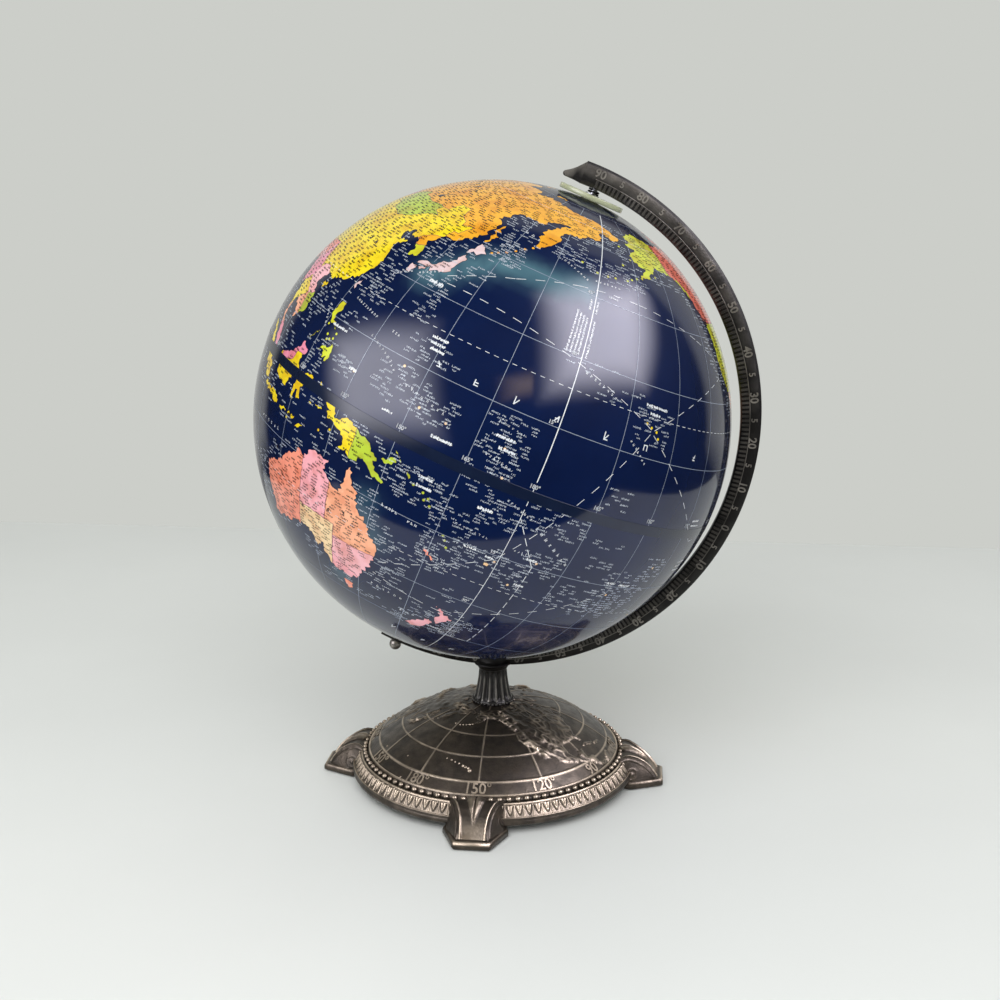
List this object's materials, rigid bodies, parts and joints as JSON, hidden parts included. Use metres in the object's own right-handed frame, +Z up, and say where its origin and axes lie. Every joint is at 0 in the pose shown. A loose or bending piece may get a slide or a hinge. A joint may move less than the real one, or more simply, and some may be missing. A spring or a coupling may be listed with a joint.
{
  "type": "desktop globe on stand",
  "caption": "Desktop globe: printed ball on a tilted rod, with a time dial, half-circle meridian arm, fluted stem and domed cast base with scroll feet.",
  "frame": {"origin": "on the table, under the centre of the whole object's box", "axes": "+Z up, +X towards the meridian arm, Y across the arm"},
  "size_m": [0.3232, 0.305, 0.4068],
  "materials": {
    "base_metal": "antiqued pewter, worn bright on the edges",
    "pad_felt": "dense felt",
    "stem_metal": "antiqued pewter, dark",
    "steel": "zinc plated",
    "arm_metal": "antiqued pewter, dark",
    "rod_steel": "bright drawn",
    "spring_wire": "black",
    "spacer_plastic": "natural",
    "nut_metal": "aged nickel",
    "ball_skin": "printed board under clear lacquer",
    "seam_tape": "printed tape under lacquer",
    "board": "plain chipboard",
    "dial_plastic": "clear, faintly yellow-green"
  },
  "bodies": {
    "stand": {"base_casting": "base_metal", "foot_pads": "pad_felt", "stem_column": "stem_metal", "stem_bolt": "steel", "bolt_washer": "steel", "lock_washer": "steel", "locating_pins": "steel", "meridian_arm": "arm_metal", "axis_rod": "rod_steel", "axis_spring": "spring_wire", "spring_washer": "steel", "south_washer": "spacer_plastic", "ball_nut": "nut_metal"},
    "globe": {"north_hemisphere": "ball_skin", "south_hemisphere": "ball_skin", "equator_tape": "seam_tape", "joint_ring": "board", "north_bushing": "spacer_plastic", "south_bushing": "spacer_plastic"},
    "dial": {"time_dial": "dial_plastic"}
  },
  "joints": [
    {"name": "globe_spin", "type": "hinge", "parent": "stand", "child": "globe", "pos_m": [-0.00926, 0, 0.2435], "axis": [0.3987, 0, 0.9171], "continuous": true},
    {"name": "dial_turn", "type": "hinge", "parent": "globe", "child": "dial", "pos_m": [-0.00926, 0, 0.2435], "axis": [0.3987, 0, 0.9171], "continuous": true}
  ]
}
